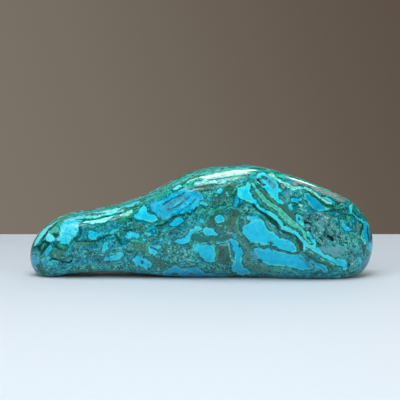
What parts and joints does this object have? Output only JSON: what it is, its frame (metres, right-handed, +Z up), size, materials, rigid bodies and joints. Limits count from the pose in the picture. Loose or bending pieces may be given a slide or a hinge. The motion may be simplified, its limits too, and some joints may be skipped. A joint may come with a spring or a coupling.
{
  "type": "polished chrysocolla and malachite freeform",
  "caption": "Long polished mineral freeform with a low foot, a saddle, a hump and a rounded bulb, standing on a ground base.",
  "frame": {"origin": "on the surface that the stone stands on, under the middle of its bounding box", "axes": "+X along the stone from the low foot to the broad bulb, +Z up, the broad front face looks along -Y"},
  "size_m": [0.18, 0.054, 0.058],
  "materials": {
    "polished_stone": "polished"
  },
  "bodies": {
    "root": {"chrysocolla_stone": "polished_stone"}
  },
  "joints": []
}
